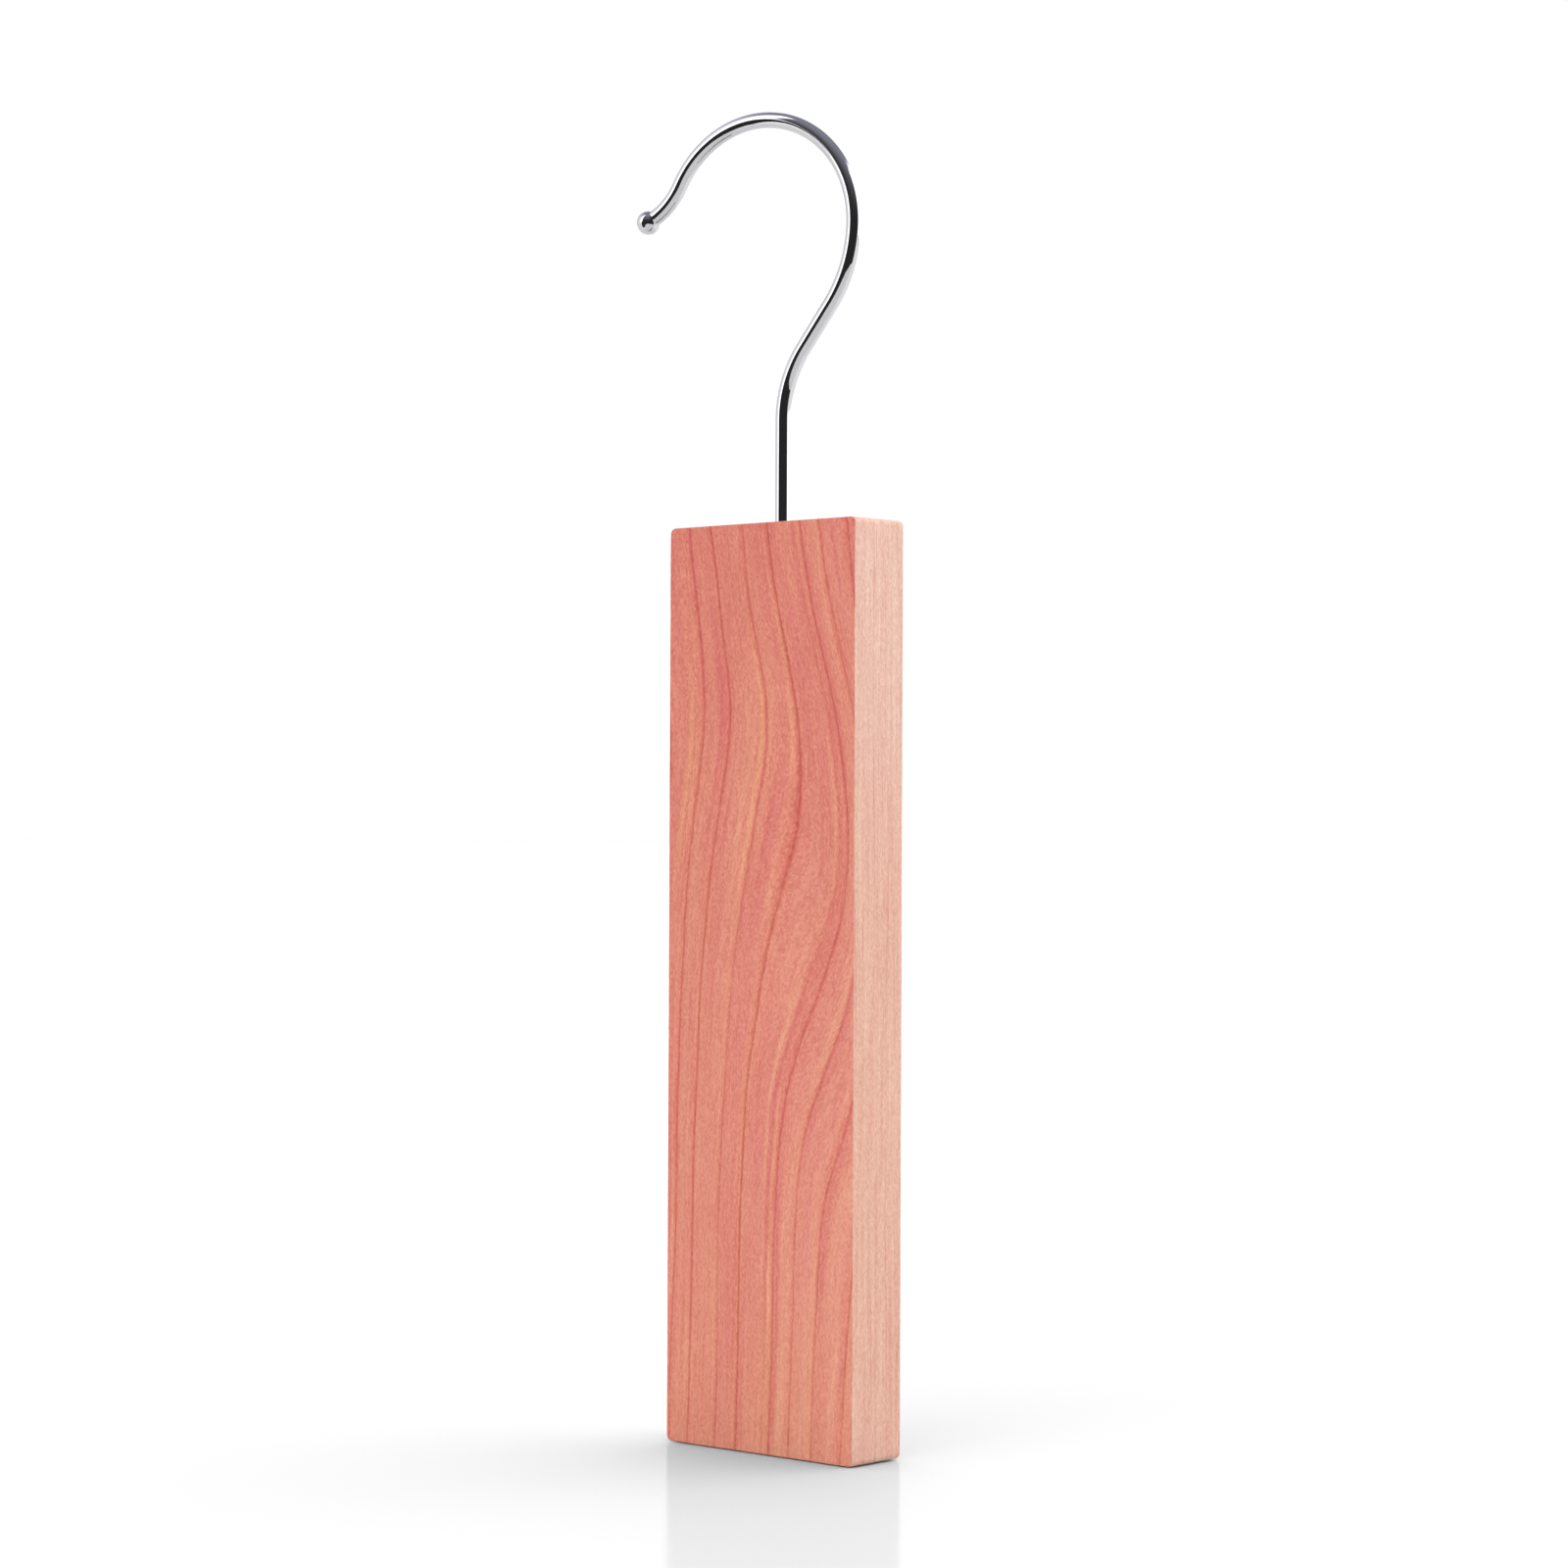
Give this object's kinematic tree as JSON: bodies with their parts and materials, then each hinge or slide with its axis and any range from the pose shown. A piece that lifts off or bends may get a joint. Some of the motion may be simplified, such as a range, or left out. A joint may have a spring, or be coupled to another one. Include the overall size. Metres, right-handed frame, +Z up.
{
  "type": "cedar hanger block",
  "caption": "Flat bar of aromatic cedar with a swivelling chromed wire hook in its top end, hung on a wardrobe rail among clothes to keep moths away.",
  "frame": {"origin": "centre of the flat foot of the cedar block", "axes": "+Z up along the hook's shank; the broad faces look along -Y and +Y, and the narrow faces along -X and +X"},
  "size_m": [0.0651, 0.0169, 0.2902],
  "materials": {
    "cedar": "matte",
    "chrome_wire": "polished",
    "nylon": "satin"
  },
  "bodies": {
    "block": {"cedar_block": "cedar", "hook_bush": "nylon"},
    "hook": {"hook": "chrome_wire"}
  },
  "joints": [
    {"name": "hook_swivel", "type": "hinge", "parent": "block", "child": "hook", "pos_m": [-0.0007, 0, 0.19], "axis": [0, 0, 1], "continuous": true}
  ]
}
